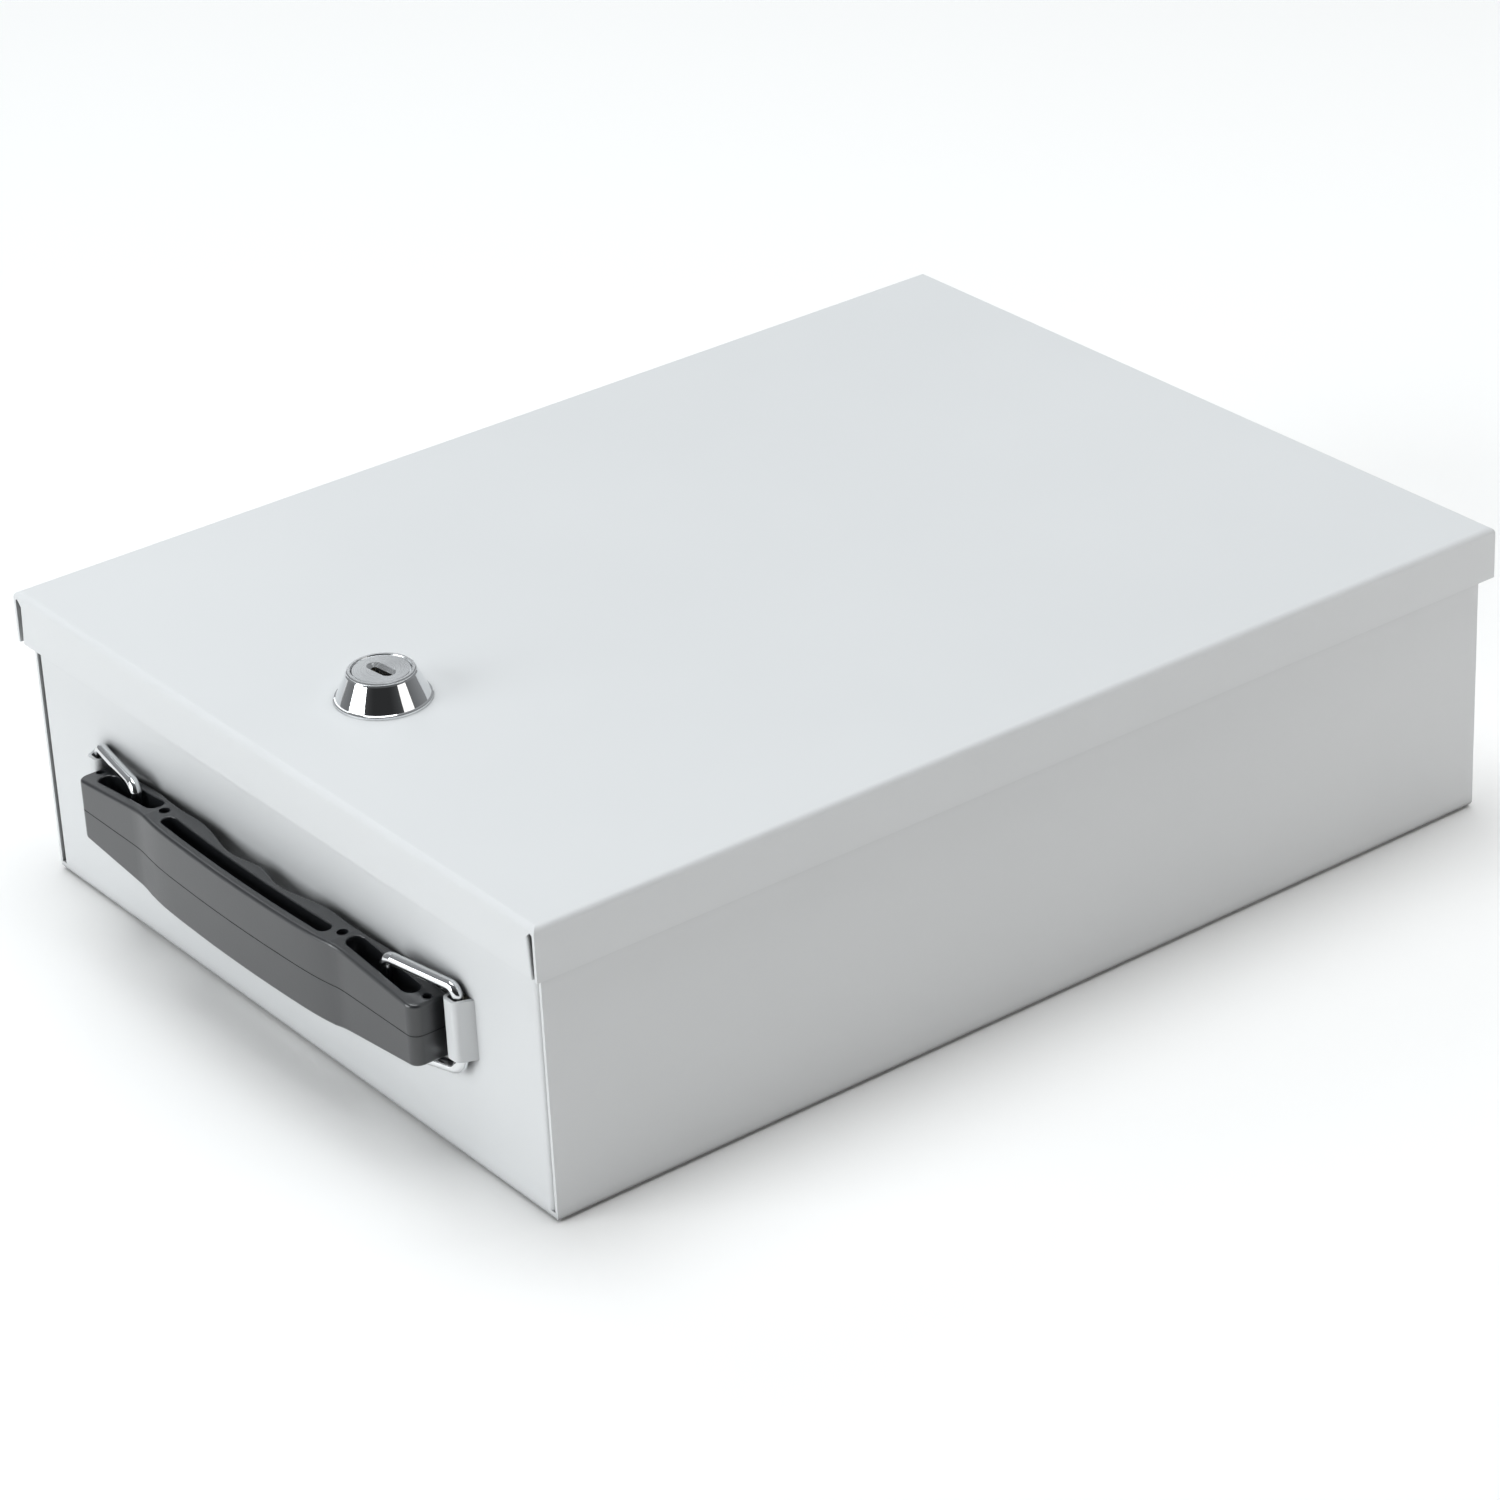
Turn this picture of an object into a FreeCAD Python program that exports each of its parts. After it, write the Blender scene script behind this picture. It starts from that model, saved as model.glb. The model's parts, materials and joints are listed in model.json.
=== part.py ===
import FreeCAD, Part
import math
import os
import re
import Sketcher

# A fire-resistant steel document box for A5 papers: a double-walled body and lid filled with
# insulation, a cylinder cam lock in the lid, two outside hinges at the rear, and a pull-out
# grip that hangs on two wire rings at the front.
#
# Frame: millimetres, X across the short front, the front wall at -Y, the hinges at +Y, +Z up.
# The origin is the middle of the body's underside.

DOCUMENT_NAME = "document_box"
PARTS_FOLDER = "parts"

# Driving dimensions: alias, value in millimetres or degrees, meaning.
SIZES = [
    ("lid_width", 205.0, "lid, across the front"),
    ("lid_depth", 270.0, "lid, front to back"),
    ("box_height", 72.8, "underside of the body to the top of the lid"),
    ("flange_height", 12.7, "lid flange, top of the lid to its lower edge"),
    ("overhang", 2.5, "lid beyond the body, each side"),
    ("sheet", 0.8, "thickness of the steel sheet"),
    ("bend", 1.5, "outside radius of a folded edge"),
    ("lid_gap", 1.0, "rim of the body to the underside of the lid sheet"),
    ("rim_width", 9.0, "flange folded inwards round the top of the body"),
    ("fill", 10.4, "gap for the insulation between the two walls"),
    ("fit_gap", 0.1, "clearance round a plain hole or an insulation slab"),
    ("tab", 8.0, "tab of an end wall, turned in behind a side wall"),
    ("seam", 0.35, "slit between two folded flanges of the rim"),
    ("corner_curl", 2.2, "outside radius of the upright edge where an end wall turns in"),
    ("lid_seam", 1.8, "open corner of the lid flange, at its widest"),
    ("seal", 0.8, "thickness of the sealing strip on the rim"),
    ("seal_width", 6.0, "sealing strip, across"),
    ("pan_inset", 3.5, "side of the liner to the side of the lid pan"),
    ("pan_inset_rear", 5.7, "the same at the rear, where the pan swings out"),
    ("pan_floor", 62.0, "underside of the lid pan above the ground"),
    ("lock_setback", 34.0, "lock axis behind the front edge of the lid"),
    ("lock_aside", 1.2, "lock axis to the left of the middle of the box"),
    ("lock_height", 7.1, "top of the lock above the lid"),
    ("rosette_radius", 11.0, "foot of the conical collar"),
    ("rosette_top", 7.8, "upper end of the conical collar"),
    ("lip_radius", 7.65, "lip of the lock housing that holds the collar down"),
    ("housing_radius", 7.3, "lock housing inside the collar"),
    ("barrel_radius", 7.0, "threaded barrel of the lock housing, below the lid top"),
    ("barrel_length", 14.0, "top of the lid to the lower end of the barrel"),
    ("nut_flats", 17.0, "lock nut, across its flats"),
    ("nut_height", 2.2, "lock nut, thickness"),
    ("nut_washer", 0.8, "washer between lid pan and nut, thickness"),
    ("plug_head_radius", 6.62, "visible face of the turning plug"),
    ("plug_radius", 5.5, "body of the turning plug"),
    ("running_gap", 0.08, "radial clearance of a turning fit"),
    ("key_angle", 6.0, "keyhole, turned from the box's own front edge"),
    ("key_width", 6.5, "keyhole, long way"),
    ("key_thickness", 1.8, "keyhole, short way"),
    ("wafer", 1.0, "thickness of a wafer"),
    ("wafer_pitch", 2.2, "one wafer to the next"),
    ("wafer_width", 6.0, "wafer, across its sliding direction"),
    ("shank", 7.0, "square end of the plug that drives the cam"),
    ("screw_radius", 1.95, "thread of the cam screw"),
    ("cam_length", 18.0, "lock axis to the tip of the cam"),
    ("cam_width", 10.0, "cam, across"),
    ("cam_sheet", 1.6, "cam, thickness"),
    ("strike_low", 59.0, "underside of the lip that the cam turns under"),
    ("strike_sheet", 1.2, "thickness of the strike plate"),
    ("strike_tall", 8.5, "strike plate, height"),
    ("strike_width", 32.0, "strike plate, across"),
    ("strike_reach", 8.5, "lip of the strike plate, from the liner"),
    ("rivet_radius", 1.5, "shank of a strike rivet"),
    ("rivet_spacing", 22.0, "one strike rivet to the other"),
    ("rivet_height", 64.3, "strike rivets above the ground"),
    ("hinge_spacing", 65.0, "middle of the box to the middle of a hinge"),
    ("hinge_width", 40.0, "hinge, along its pin"),
    ("knuckle_width", 10.0, "each outer knuckle of the body leaf"),
    ("knuckle_gap", 0.3, "one knuckle to the next"),
    ("knuckle_radius", 2.5, "rolled barrel of the hinge"),
    ("pin_radius", 1.5, "hinge pin"),
    ("pin_height", 57.0, "hinge pin above the ground"),
    ("pin_setback", 2.8, "hinge pin behind the rear wall"),
    ("leaf", 0.9, "thickness of a hinge leaf"),
    ("leaf_low", 40.0, "lower edge of the body leaf above the ground"),
    ("leaf_high", 69.0, "upper edge of the lid leaf above the ground"),
    ("strap_low", 28.2, "lower edge of a handle strap"),
    ("strap_high", 42.7, "upper edge of a handle strap"),
    ("strap_rise", 4.3, "crest of a handle strap in front of the wall"),
    ("strap_axis", 71.15, "middle of the box to the leg of a ring in its strap"),
    ("ring_out", 1.75, "leg of a ring in front of the wall"),
    ("wire_radius", 1.4, "wire of the rings"),
    ("wire_gap", 0.35, "clearance of a ring in its strap"),
    ("ring_reach", 21.6, "leg in the strap to leg in the grip"),
    ("ring_angle", 9.65, "rings at rest, measured from the wall"),
    ("ring_high", 44.7, "upper arm of a ring"),
    ("ring_low", 24.8, "lower arm of a ring at its strap"),
    ("ring_low_grip", 22.5, "lower arm of a ring at the grip"),
    ("grip_height", 33.6, "mould line of the grip above the ground"),
    ("grip_out", 5.8, "slots of the grip in front of the wall"),
    ("grip_length", 134.4, "grip, end to end"),
    ("grip_aside", 0.8, "grip at rest, to the left of the middle of the box"),
    ("mould_line", 0.15, "depth of the groove round the grip at its mould line"),
    ("grip_tall", 20.8, "grip, height of its middle"),
    ("grip_short", 14.8, "grip, height of its ends"),
    ("grip_knee", 37.0, "middle of the grip to where it starts to taper"),
    ("slot_width", 4.4, "end slots of the grip"),
    ("slot_inner", 38.2, "middle of the grip to the near end of an end slot"),
    ("slot_outer", 62.6, "middle of the grip to the far end of an end slot"),
]

doc = FreeCAD.newDocument(DOCUMENT_NAME)
sheet = doc.addObject("Spreadsheet::Sheet", "Sizes")
for row, (alias, amount, meaning) in enumerate(SIZES, start=1):
    sheet.set("A%d" % row, alias)
    sheet.set("B%d" % row, str(amount))
    sheet.set("C%d" % row, meaning)
    sheet.setAlias("B%d" % row, alias)
doc.recompute()

ALIASES = {alias for alias, amount, meaning in SIZES}

# Lengths that several pieces share, as formulas in the sheet's own words.
BODY_W = "(lid_width - 2 * overhang)"
BODY_D = "(lid_depth - 2 * overhang)"
BODY_H = "(box_height - sheet - lid_gap)"
REAR_WALL = "(lid_depth / 2 - overhang)"
FRONT_WALL = "(overhang - lid_depth / 2)"
LINER_X = "(lid_width / 2 - overhang - sheet - fill)"
LINER_Y = "(lid_depth / 2 - overhang - sheet - fill)"
LINER_FLOOR = "(sheet + fill)"
LOCK_X = "-lock_aside"
LOCK_Y = "(lock_setback - lid_depth / 2)"
PIN_Y = "(lid_depth / 2 - overhang + pin_setback)"
PAN_X = "(%s - sheet - pan_inset)" % LINER_X
PAN_FRONT = "(%s - sheet - pan_inset)" % LINER_Y
PAN_REAR = "(%s - sheet - pan_inset_rear)" % LINER_Y

CORNERS = [("front_left", -1, -1), ("front_right", 1, -1), ("rear_left", -1, 1), ("rear_right", 1, 1)]


def size(alias):
    """The number that a cell of the sheet holds."""
    return float(sheet.get(alias))


def formula(words):
    """Turns the sheet's own words into an expression that a property can be bound to."""
    return re.sub(r"[a-z]\w*", lambda m: "Sizes." + m.group() if m.group() in ALIASES else m.group(), words)


def bind(obj, **rules):
    """Binds properties to formulas; an underscore pair in a name stands for a dot."""
    for name, rule in rules.items():
        obj.setExpression(name.replace("__", "."), formula(rule))
    return obj


def move(obj, x="0", y="0", z="0"):
    """Binds the place of an object."""
    return bind(obj, Placement__Base__x=x, Placement__Base__y=y, Placement__Base__z=z)


def block(name, length, width, height, x, y, z):
    """A rectangular block between its low corner and its size along X, Y and Z."""
    obj = doc.addObject("Part::Box", name)
    bind(obj, Length=length, Width=width, Height=height)
    return move(obj, x, y, z)


def centred_block(name, length, width, height, z):
    """A block centred on the Z axis."""
    return block(name, length, width, height, "-(%s) / 2" % length, "-(%s) / 2" % width, z)


def rod(name, radius, length, x, y, z, along="z"):
    """A cylinder that starts at a point and runs along +X, -Y or +Z."""
    obj = doc.addObject("Part::Cylinder", name)
    turns = {
        "x": FreeCAD.Rotation(FreeCAD.Vector(0, 1, 0), 90),
        "-y": FreeCAD.Rotation(FreeCAD.Vector(1, 0, 0), 90),
        "z": FreeCAD.Rotation(),
    }
    obj.Placement = FreeCAD.Placement(FreeCAD.Vector(), turns[along])
    bind(obj, Radius=radius, Height=length)
    return move(obj, x, y, z)


def prism(name, sketch, height, z, along=(0, 0, 1)):
    """A free sketch pulled along one direction, then lifted to a height."""
    obj = doc.addObject("Part::Extrusion", name)
    obj.Base = sketch
    obj.DirMode = "Custom"
    obj.Dir = FreeCAD.Vector(*along)
    obj.Solid = True
    bind(obj, LengthFwd=height)
    return move(obj, z=z)


def join(name, pieces):
    """The union of several objects."""
    obj = doc.addObject("Part::MultiFuse", name)
    obj.Shapes = pieces
    return obj


def cut(name, base, tools):
    """The base without the tools."""
    obj = doc.addObject("Part::Cut", name)
    obj.Base = base
    obj.Tool = tools[0] if len(tools) == 1 else join(name + "_tools", tools)
    return obj


def edge_numbers(shape, wanted):
    """The numbers of the edges whose middle and direction the test accepts."""
    numbers = []
    for number, edge in enumerate(shape.Edges, start=1):
        middle = edge.valueAt((edge.FirstParameter + edge.LastParameter) / 2)
        run = edge.Vertexes[-1].Point.sub(edge.Vertexes[0].Point)
        if wanted(middle, run):
            numbers.append(number)
    return numbers


def rounded(name, base, radius, wanted):
    """The base with the chosen edges rounded."""
    doc.recompute()
    obj = doc.addObject("Part::Fillet", name)
    obj.Base = base
    obj.Edges = [(number, radius, radius) for number in edge_numbers(base.Shape, wanted)]
    return obj


def is_upright(run):
    return abs(run.z) > 0.5 and abs(run.x) + abs(run.y) < 0.01


# --- PartDesign helpers -------------------------------------------------------------------

def new_body(node):
    return doc.addObject("PartDesign::Body", node)


def new_sketch(body, role, name, lift=0.0, turn=0.0):
    """A sketch on one of the body's own origin planes, lifted off it or turned in it."""
    sketch = body.newObject("Sketcher::SketchObject", name)
    plane = [feature for feature in body.Origin.OriginFeatures if feature.Role == role][0]
    sketch.AttachmentSupport = (plane, [""])
    sketch.MapMode = "FlatFace"
    sketch.AttachmentOffset = FreeCAD.Placement(
        FreeCAD.Vector(0, 0, lift), FreeCAD.Rotation(FreeCAD.Vector(0, 0, 1), turn))
    return sketch


def polyline(sketch, points, closed=True):
    """Straight lines through the points, joined end to end."""
    first = sketch.GeometryCount
    count = len(points) if closed else len(points) - 1
    for i in range(count):
        x1, y1 = points[i]
        x2, y2 = points[(i + 1) % len(points)]
        line = Part.LineSegment(FreeCAD.Vector(x1, y1, 0), FreeCAD.Vector(x2, y2, 0))
        sketch.addGeometry(line, False)
    for i in range(count if closed else count - 1):
        after = first + (i + 1) % count
        sketch.addConstraint(Sketcher.Constraint("Coincident", first + i, 2, after, 1))
    return sketch


def polyline_3d(sketch, vectors):
    """Straight lines from each vector to the next, left open."""
    for first, second in zip(vectors, vectors[1:]):
        sketch.addGeometry(Part.LineSegment(first, second), False)


def rectangle(sketch, x1, y1, x2, y2):
    return polyline(sketch, [(x1, y1), (x2, y1), (x2, y2), (x1, y2)])


def circle(sketch, x, y, radius_rule):
    """A circle whose radius is bound to the sheet."""
    number = sketch.addGeometry(Part.Circle(FreeCAD.Vector(x, y, 0), FreeCAD.Vector(0, 0, 1), 1.0), False)
    radius = sketch.addConstraint(Sketcher.Constraint("Radius", number, 1.0))
    sketch.setExpression("Constraints[%d]" % radius, formula(radius_rule))
    return sketch


def slot(sketch, x1, x2, y, half_width):
    """A straight slot with round ends, from x1 to x2."""
    left = FreeCAD.Vector(x1 + half_width, y, 0)
    right = FreeCAD.Vector(x2 - half_width, y, 0)
    up = FreeCAD.Vector(0, half_width, 0)
    out = FreeCAD.Vector(half_width, 0, 0)
    sketch.addGeometry(Part.LineSegment(left.add(up), right.add(up)), False)
    sketch.addGeometry(Part.Arc(right.add(up), right.add(out), right.sub(up)), False)
    sketch.addGeometry(Part.LineSegment(right.sub(up), left.sub(up)), False)
    sketch.addGeometry(Part.Arc(left.sub(up), left.sub(out), left.add(up)), False)
    return sketch


def pad(body, sketch, name, length, symmetric=False):
    feature = body.newObject("PartDesign::Pad", name)
    feature.Profile = sketch
    feature.SideType = "Symmetric" if symmetric else "One side"
    return bind(feature, Length=length)


def pocket(body, sketch, name, length=None, reverse=False):
    """A pocket of a given depth, or through everything both ways."""
    feature = body.newObject("PartDesign::Pocket", name)
    feature.Profile = sketch
    feature.Reversed = reverse
    if length is None:
        feature.SideType = "Symmetric"
        feature.Type = "ThroughAll"
        return feature
    return bind(feature, Length=length)


def revolve(body, sketch, name):
    """A solid turned about the sketch's vertical axis."""
    feature = body.newObject("PartDesign::Revolution", name)
    feature.Profile = sketch
    feature.ReferenceAxis = (sketch, ["V_Axis"])
    feature.Angle = 360
    return feature


def dress(body, base, kind, name, amount, wanted):
    """A PartDesign fillet or chamfer on the chosen edges of a feature."""
    doc.recompute()
    feature = body.newObject("PartDesign::" + kind, name)
    chosen = ["Edge%d" % number for number in edge_numbers(base.Shape, wanted)]
    feature.Base = (base, chosen)
    if kind == "Fillet":
        feature.Radius = amount
    else:
        feature.Size = amount
    return feature


# --- Body ---------------------------------------------------------------------------------

def strap(side):
    """Outside and inside of one handle strap: a tongue of the front wall pressed outwards."""
    name = "strap_right" if side > 0 else "strap_left"
    wall = size("overhang") - size("lid_depth") / 2
    rise = size("strap_rise")
    skin = size("sheet")
    half_loop = size("wire_radius") + size("wire_gap")
    inner_foot = size("strap_axis") - half_loop - skin
    crest_end = size("strap_axis") + half_loop
    outer_foot = crest_end + 1.85
    outside = [
        (inner_foot, skin),
        (inner_foot, -rise),
        (crest_end, -rise),
        (outer_foot, 0.0),
        (outer_foot, skin),
    ]
    inside = [
        (inner_foot + skin, 2 * skin),
        (inner_foot + skin, skin - rise),
        (crest_end - skin / 2, skin - rise),
        (outer_foot - 1.1, 0.0),
        (outer_foot - 1.1, 2 * skin),
    ]
    solids = []
    for label, outline, radius, crest in (
            ("outside", outside, 1.5, wall - rise), ("inside", inside, 0.7, wall - rise + skin)):
        sketch = doc.addObject("Sketcher::SketchObject", "%s_%s_sketch" % (name, label))
        polyline(sketch, [(side * x, wall + y) for x, y in outline])
        straight = prism("%s_%s_prism" % (name, label), sketch, "strap_high - strap_low", "strap_low")
        solids.append(rounded(
            "%s_%s" % (name, label), straight, radius,
            lambda middle, run: is_upright(run) and abs(middle.y - crest) < 0.01))
    return solids


def corner_tab(name, side_x, side_y):
    """Tab of an end wall: it curls round the corner and lies flat inside the side wall."""
    wall = size("sheet")
    inside_x = size("lid_width") / 2 - size("overhang") - wall
    inside_y = size("lid_depth") / 2 - size("overhang") - wall
    curl = size("corner_curl") - wall
    blocks = []
    for label, reach_x, reach_y in (("tab", wall, size("tab")), ("curl", wall + curl, curl)):
        x = (inside_x - reach_x) if side_x > 0 else -inside_x - wall / 2
        y = (inside_y - reach_y) if side_y > 0 else -inside_y - wall / 2
        blocks.append(block(
            "shell_%s_%s" % (label, name), str(reach_x + wall / 2), str(reach_y + wall / 2),
            BODY_H + " - 3 * sheet - fit_gap", str(x), str(y), "sheet"))
    return blocks


def corner_groove(name, side_x, side_y):
    """The valley outside the curled edge of an end wall, beside the side wall's sheet edge."""
    curl = size("corner_curl")
    plane_x = size("lid_width") / 2 - size("overhang") - size("sheet")
    plane_y = size("lid_depth") / 2 - size("overhang")
    slant = curl * math.sqrt(0.5)

    def at(x, y):
        return FreeCAD.Vector(side_x * (plane_x + x), side_y * (plane_y + y), 0)

    sketch = doc.addObject("Sketcher::SketchObject", "shell_groove_sketch_" + name)
    sketch.addGeometry(Part.Arc(at(-curl, 0), at(slant - curl, slant - curl), at(0, -curl)), False)
    polyline_3d(sketch, [at(0, -curl), at(0, curl), at(-curl, curl), at(-curl, 0)])
    return prism("shell_groove_" + name, sketch, BODY_H + " - sheet - 1.5 * bend", "1.5 * bend")


def mitre_slit(name, side_x, side_y):
    """The slit across a corner of the rim, where two folded flanges meet at 45 degrees."""
    slit = doc.addObject("Part::Box", "shell_mitre_" + name)
    bind(slit, Length="1.6 * rim_width", Width="seam", Height="2 * sheet")
    turn = FreeCAD.Rotation(FreeCAD.Vector(0, 0, 1), math.degrees(math.atan2(-side_y, -side_x)))
    aside = turn.multVec(FreeCAD.Vector(0, -size("seam") / 2, 0))
    start = FreeCAD.Vector(
        side_x * (size("lid_width") / 2 - size("overhang") - size("bend")),
        side_y * (size("lid_depth") / 2 - size("overhang") - size("bend")),
        size("box_height") - size("lid_gap") - 2.5 * size("sheet"))
    slit.Placement = FreeCAD.Placement(start.add(aside), turn)
    return slit


def body_shell():
    """Outer body: floor, four walls, a rim folded inwards, and two straps for the handle."""
    outer = centred_block("shell_outer", BODY_W, BODY_D, BODY_H, "0")
    bends = rounded("shell_bends", outer, size("bend"), lambda middle, run: middle.z < 0.01)
    cavity = centred_block(
        "shell_cavity", BODY_W + " - 2 * sheet", BODY_D + " - 2 * sheet", BODY_H + " - 2 * sheet", "sheet")
    mouth = centred_block(
        "shell_mouth", BODY_W + " - 2 * rim_width", BODY_D + " - 2 * rim_width", BODY_H, "4 * sheet")
    added = [cut("shell_hollow", bends, [cavity, mouth])]
    removed = []
    for name, side_x, side_y in CORNERS:
        added += corner_tab(name, side_x, side_y)
        removed.append(corner_groove(name, side_x, side_y))
        removed.append(mitre_slit(name, side_x, side_y))
    for side in (-1, 1):
        outside, inside = strap(side)
        added.append(outside)
        removed.append(inside)
    return cut("body_shell", join("shell_with_straps", added), removed)


def inner_liner():
    """Inner box that holds the papers, with a flange folded outwards under the rim."""
    low = size("sheet") + size("fill")
    tray = centred_block(
        "liner_tray", "2 * %s" % LINER_X, "2 * %s" % LINER_Y, "%s - sheet - %s" % (BODY_H, LINER_FLOOR),
        LINER_FLOOR)
    outside = rounded(
        "liner_outside", tray, size("bend"), lambda middle, run: is_upright(run) or middle.z < low + 0.01)
    flange = centred_block(
        "liner_flange", BODY_W + " - 2 * sheet - 4 * fit_gap", BODY_D + " - 2 * sheet - 4 * fit_gap", "sheet",
        BODY_H + " - 2 * sheet")
    hollow = centred_block(
        "liner_hollow", "2 * %s - 2 * sheet" % LINER_X, "2 * %s - 2 * sheet" % LINER_Y, BODY_H,
        LINER_FLOOR + " + sheet")
    inside = rounded(
        "liner_inside", hollow, size("bend") - size("sheet"),
        lambda middle, run: is_upright(run) or middle.z < low + size("sheet") + 0.01)
    holes = rivet_rods("liner_hole", "rivet_radius + fit_gap", "4 * sheet", "sheet - " + LINER_Y)
    return cut("inner_liner", join("liner_folded", [outside, flange]), [inside] + holes)


def rivet_rods(name, radius, length, start):
    """One rod at each strike rivet, from a start depth outwards to the front."""
    return [
        rod("%s_%s" % (name, side), radius, length, x, start, "rivet_height", "-y")
        for side, x in (("left", "-rivet_spacing / 2"), ("right", "rivet_spacing / 2"))
    ]


def insulation():
    """Five slabs of mineral board between the two walls of the body."""
    board = "(fill - 2 * fit_gap)"
    tall = "(%s - 3 * sheet - fill - 2 * fit_gap)" % BODY_H
    end_width = "(%s - 2 * sheet - 2 * corner_curl - 2 * fit_gap)" % BODY_W
    slabs = {}
    slabs["insulation_base"] = centred_block(
        "insulation_base", BODY_W + " - 4 * sheet - 2 * fit_gap", BODY_D + " - 2 * corner_curl - 2 * fit_gap",
        board, "sheet + fit_gap")
    for side, x in (("left", "-%s - fill + fit_gap" % LINER_X), ("right", LINER_X + " + fit_gap")):
        slabs["insulation_" + side] = block(
            "insulation_" + side, board, "2 * " + LINER_Y, tall, x, "-" + LINER_Y, LINER_FLOOR)
    slabs["insulation_rear"] = block(
        "insulation_rear", end_width, board, tall, "-%s / 2" % end_width, LINER_Y + " + fit_gap", LINER_FLOOR)
    front = block(
        "insulation_front_slab", end_width, board, tall, "-%s / 2" % end_width,
        "-%s - fill + fit_gap" % LINER_Y, LINER_FLOOR)
    pockets = rivet_rods("insulation_pocket", "2 * rivet_radius", "4 * sheet", "2 * sheet - " + LINER_Y)
    slabs["insulation_front"] = cut("insulation_front", front, pockets)
    return slabs


def rim_seal():
    """Heat-swelling strip stuck round the rim, under the edge of the lid."""
    wide = "(%s - 3 * bend)" % BODY_W
    deep = "(%s - 3 * bend)" % BODY_D
    outer = centred_block("seal_outer", wide, deep, "seal", BODY_H)
    soft = rounded("seal_corners", outer, size("bend"), lambda middle, run: is_upright(run))
    inner = centred_block(
        "seal_inner", wide + " - 2 * seal_width", deep + " - 2 * seal_width", "3 * seal", BODY_H + " - seal")
    return cut("rim_seal", soft, [inner])


def strike_plate():
    """Angle riveted inside the front of the liner; the cam turns under its lip."""
    reach = size("strike_reach")
    skin = size("strike_sheet")
    tall = size("strike_tall")
    body = new_body("strike_plate")
    profile = new_sketch(body, "YZ_Plane", "strike_profile")
    polyline(profile, [(0, 0), (reach, 0), (reach, skin), (skin, skin), (skin, tall), (0, tall)])
    angle = pad(body, profile, "strike_angle", "strike_width", symmetric=True)
    soft = dress(
        body, angle, "Fillet", "strike_corners", 2.0,
        lambda middle, run: abs(middle.x) > 1 and (middle.y > reach - 0.01 or middle.z > tall - 0.01))
    holes = new_sketch(body, "XZ_Plane", "strike_holes")
    for side in (-1, 1):
        circle(
            holes, side * size("rivet_spacing") / 2, size("rivet_height") - size("strike_low"),
            "rivet_radius + fit_gap")
    body.Tip = pocket(body, holes, "strike_rivet_holes")
    return move(body, y="sheet - " + LINER_Y, z="strike_low")


def strike_rivets():
    """Two rivets through the strike plate and the liner."""
    face = "sheet - %s + strike_sheet" % LINER_Y
    heads = rivet_rods("rivet_head", "rivet_radius + 1", "1", face + " + 1")
    shanks = rivet_rods("rivet_shank", "rivet_radius", "strike_sheet + 3 * sheet", face + " + sheet")
    tails = rivet_rods("rivet_tail", "rivet_radius + 0.7", "sheet", "-" + LINER_Y)
    return join("strike_rivets", heads + shanks + tails)


# --- Lid ----------------------------------------------------------------------------------

def lid_slot(name, side_x, side_y):
    """The open corner of the lid flange, widest below the fold of the top."""
    plane = size("lid_width") / 2 - size("sheet")
    widest = size("lid_seam")
    low = size("box_height") - size("flange_height")
    high = size("box_height") - size("bend")

    def at(x, z):
        return FreeCAD.Vector(side_x * x, z, 0)

    sketch = doc.addObject("Sketcher::SketchObject", "lid_slot_sketch_" + name)
    polyline_3d(sketch, [
        at(plane - widest, high - 0.6 * widest), at(plane - 0.6 * widest, low),
        at(plane - 0.6 * widest, low - 1), at(plane, low - 1), at(plane, high - 0.3 * widest),
        at(plane - 0.4 * widest, high),
        at(plane - widest, high - 0.6 * widest)])
    sketch.Placement = FreeCAD.Placement(
        FreeCAD.Vector(0, side_y * (size("lid_depth") / 2 - 1.5 * size("sheet")), 0),
        FreeCAD.Rotation(FreeCAD.Vector(1, 0, 0), 90))
    return prism("lid_slot_" + name, sketch, "3 * sheet", "0", along=(0, side_y, 0))


def lid_shell():
    """Outer lid: flat top with a flange folded down all round, its corners left open."""
    low = "box_height - flange_height"
    outer = centred_block("lid_outer", "lid_width", "lid_depth", "flange_height", low)
    top = size("box_height")
    bends = rounded("lid_bends", outer, size("bend"), lambda middle, run: middle.z > top - 0.01)
    hollow = centred_block(
        "lid_hollow", "lid_width - 2 * sheet", "lid_depth - 2 * sheet", "flange_height + 4 * sheet",
        low + " - 5 * sheet")
    inside = rounded(
        "lid_inside", hollow, size("bend") - size("sheet"),
        lambda middle, run: middle.z > top - size("sheet") - 0.01)
    slots = [lid_slot(name, side_x, side_y) for name, side_x, side_y in CORNERS]
    hole = rod(
        "lid_lock_hole", "barrel_radius + fit_gap", "4 * sheet", LOCK_X, LOCK_Y, "box_height - 2 * sheet")
    folded = cut("lid_folded", bends, [inside, hole] + slots)
    edge = size("lid_width") / 2 - size("sheet")
    face = size("lid_depth") / 2
    return rounded(
        "lid_shell", folded, 0.75 * size("sheet"),
        lambda middle, run: abs(run.z) > 5 and abs(abs(middle.y) - face) < 0.01
        and 0.3 < edge - abs(middle.x) < 2)


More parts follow.
